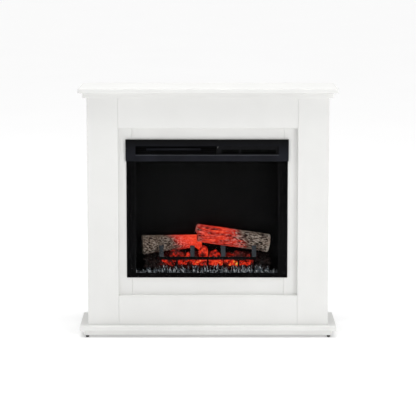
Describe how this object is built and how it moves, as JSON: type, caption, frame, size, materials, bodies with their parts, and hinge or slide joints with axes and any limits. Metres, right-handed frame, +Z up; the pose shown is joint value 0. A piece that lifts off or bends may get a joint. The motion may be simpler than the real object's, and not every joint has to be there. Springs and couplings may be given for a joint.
{
  "type": "electric fireplace",
  "caption": "Free-standing electric fireplace: white panelled surround with a black glass-fronted insert, warm-air slot, log and ember bed, turning flicker rod and blower.",
  "frame": {"origin": "on the floor, under the middle of the shelf", "axes": "+X to the right seen from the front, +Y towards the wall behind, +Z up"},
  "size_m": [1, 0.3, 0.972],
  "materials": {
    "painted_board": "white satin paint on fibreboard",
    "header_steel": "charcoal satin powder coat",
    "casing_steel": "black powder coat",
    "front_glass": "tinted toughened glass with a black border",
    "flame_screen": "smoked acrylic",
    "log_resin": "moulded bark, painted",
    "ember_resin": "translucent coal bed, lit from below",
    "grate_iron": "slate coating",
    "glass_chips": "clear broken glass",
    "zinc_steel": "zinc plate",
    "motor_steel": "satin",
    "mirror_strip": "polished",
    "heater_ceramic": "unglazed",
    "black_plastic": "moulded",
    "circuit_board": "solder mask",
    "black_rubber": "moulded"
  },
  "bodies": {
    "fireplace": {"mantel_shelf": "painted_board", "shelf_moulding": "painted_board", "frieze_board": "painted_board", "left_leg_front": "painted_board", "right_leg_front": "painted_board", "left_side_panel": "painted_board", "right_side_panel": "painted_board", "recess_stile_left": "painted_board", "recess_stile_right": "painted_board", "recess_rail_top": "painted_board", "recess_rail_bottom": "painted_board", "bottom_rail": "painted_board", "hearth_slab": "painted_board", "hearth_base": "painted_board", "back_stretcher": "painted_board", "foot_front_left": "black_rubber", "foot_front_right": "black_rubber", "foot_back_left": "black_rubber", "foot_back_right": "black_rubber", "cable_gland": "black_rubber", "wall_bracket_left": "zinc_steel", "wall_bracket_right": "zinc_steel", "insert_bracket_left": "zinc_steel", "insert_bracket_right": "zinc_steel", "rotor_bearing": "zinc_steel", "blower_housing": "zinc_steel", "firebox_header": "header_steel", "outlet_louvre": "casing_steel", "flange_left": "casing_steel", "flange_right": "casing_steel", "flange_bottom": "casing_steel", "casing_floor": "casing_steel", "casing_left": "casing_steel", "casing_right": "casing_steel", "casing_top": "casing_steel", "casing_back": "casing_steel", "heater_shelf": "casing_steel", "front_glass": "front_glass", "flame_screen": "flame_screen", "ember_bed": "ember_resin", "grate": "grate_iron", "left_log": "log_resin", "right_log": "log_resin", "glass_chips": "glass_chips", "flicker_motor": "motor_steel", "blower_motor": "motor_steel", "ember_light_board": "circuit_board", "flame_light_board": "circuit_board", "control_board": "circuit_board", "heating_element": "heater_ceramic", "thermal_cutout": "black_plastic", "control_plate": "black_plastic", "terminal_block": "black_plastic"},
    "flicker": {"flicker_rotor": "mirror_strip"},
    "blower_wheel": {"blower_impeller": "zinc_steel"},
    "power_switch": {"power_rocker": "black_plastic"},
    "flame_key": {"flame_button": "black_plastic"},
    "low_heat_key": {"low_heat_button": "black_plastic"},
    "high_heat_key": {"high_heat_button": "black_plastic"}
  },
  "joints": [
    {"name": "flicker_spin", "type": "hinge", "parent": "fireplace", "child": "flicker", "pos_m": [-0.00665, 0.05145, 0.3008], "axis": [1, 0, 0], "continuous": true},
    {"name": "blower_spin", "type": "hinge", "parent": "fireplace", "child": "blower_wheel", "pos_m": [-0.1349, 0.04605, 0.72645], "axis": [1, 0, 0], "continuous": true},
    {"name": "power_tilt", "type": "hinge", "parent": "fireplace", "child": "power_switch", "pos_m": [0.0862, -0.0837, 0.72445], "axis": [1, 0, 0], "range_deg": [0, 14]},
    {"name": "flame_press", "type": "slide", "parent": "fireplace", "child": "flame_key", "axis": [0, 1, 0], "range_m": [0, 0.0015], "stiffness_N_per_m": 600},
    {"name": "low_heat_press", "type": "slide", "parent": "fireplace", "child": "low_heat_key", "axis": [0, 1, 0], "range_m": [0, 0.0015], "stiffness_N_per_m": 600},
    {"name": "high_heat_press", "type": "slide", "parent": "fireplace", "child": "high_heat_key", "axis": [0, 1, 0], "range_m": [0, 0.0015], "stiffness_N_per_m": 600}
  ]
}
